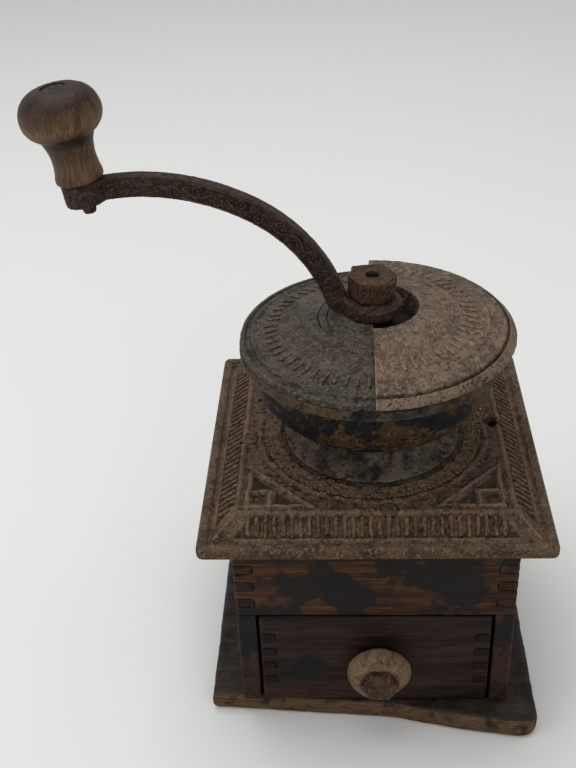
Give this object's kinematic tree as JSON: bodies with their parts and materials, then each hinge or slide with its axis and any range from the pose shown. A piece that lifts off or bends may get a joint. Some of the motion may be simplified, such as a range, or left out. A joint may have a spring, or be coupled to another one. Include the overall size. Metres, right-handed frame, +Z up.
{
  "type": "hand crank coffee grinder",
  "caption": "Old box coffee mill: cast hopper with a turning half cover and S-shaped crank over a finger-jointed wooden box with a drawer for the grounds.",
  "frame": {"origin": "underside of the base board, on the spindle axis", "axes": "+Z up along the spindle; -Y out of the drawer's front; the crank points along -X at rest"},
  "size_m": [0.2356, 0.1706, 0.3211],
  "materials": {
    "base_wood": "old oiled hardwood, worn pale along the front edge",
    "box_wood": "dark varnished hardwood, crazed and rubbed",
    "drawer_front_wood": "dark stained hardwood",
    "drawer_wood": "bare aged wood",
    "knob_wood": "turned hardwood, handled smooth",
    "pull_wood": "dry dusty turned wood",
    "plate_iron": "rusted cast iron with a brown patina",
    "hopper_iron": "rusted cast iron with remains of black japan",
    "dark_cover_iron": "dark cast iron, dusty",
    "brown_cover_iron": "brown rusted cast iron",
    "inner_iron": "bare grey iron, ground in use",
    "spindle_steel": "dull steel",
    "crank_iron": "rusted cast iron, rubbed",
    "nut_steel": "rust brown steel",
    "screw_steel": "dark rusty steel"
  },
  "bodies": {
    "case": {"base_board": "base_wood", "left_side": "box_wood", "right_side": "box_wood", "front_rail": "box_wood", "back_board": "box_wood", "top_plate": "plate_iron", "hopper_bowl": "hopper_iron", "fixed_cover": "dark_cover_iron", "spindle_bridge": "inner_iron", "outer_burr": "inner_iron", "bearing_strap": "inner_iron", "plate_screws": "screw_steel", "hopper_screws": "screw_steel", "strap_screws": "screw_steel", "bridge_screws": "screw_steel", "cover_rivets": "screw_steel", "base_screws": "screw_steel"},
    "crank": {"crank_arm": "crank_iron", "knob_pin": "nut_steel", "thrust_washer": "nut_steel", "spindle": "spindle_steel", "inner_burr": "inner_iron", "burr_pin": "spindle_steel"},
    "knob": {"crank_knob": "knob_wood"},
    "nut": {"adjusting_nut": "nut_steel"},
    "cover": {"swing_cover": "brown_cover_iron"},
    "drawer": {"drawer_front": "drawer_front_wood", "drawer_left": "drawer_wood", "drawer_right": "drawer_wood", "drawer_back": "drawer_wood", "drawer_bottom": "drawer_wood", "drawer_pull": "pull_wood", "pull_bolt": "nut_steel", "pull_washer": "nut_steel", "pull_nut": "nut_steel"}
  },
  "joints": [
    {"name": "crank_turn", "type": "hinge", "parent": "case", "child": "crank", "pos_m": [0, 0, 0.208], "axis": [0, 0, 1], "continuous": true},
    {"name": "knob_spin", "type": "hinge", "parent": "crank", "child": "knob", "pos_m": [-0.129, 0, 0.269], "axis": [-0.1478, 0, 0.989], "continuous": true},
    {"name": "nut_turn", "type": "hinge", "parent": "crank", "child": "nut", "pos_m": [0, 0, 0.219], "axis": [0, 0, 1], "range_deg": [-180, 180]},
    {"name": "cover_swing", "type": "hinge", "parent": "case", "child": "cover", "pos_m": [0, 0, 0.2], "axis": [0, 0, 1], "range_deg": [0, 180]},
    {"name": "drawer_slide", "type": "slide", "parent": "case", "child": "drawer", "axis": [0, -1, 0], "range_m": [0, 0.095]}
  ]
}
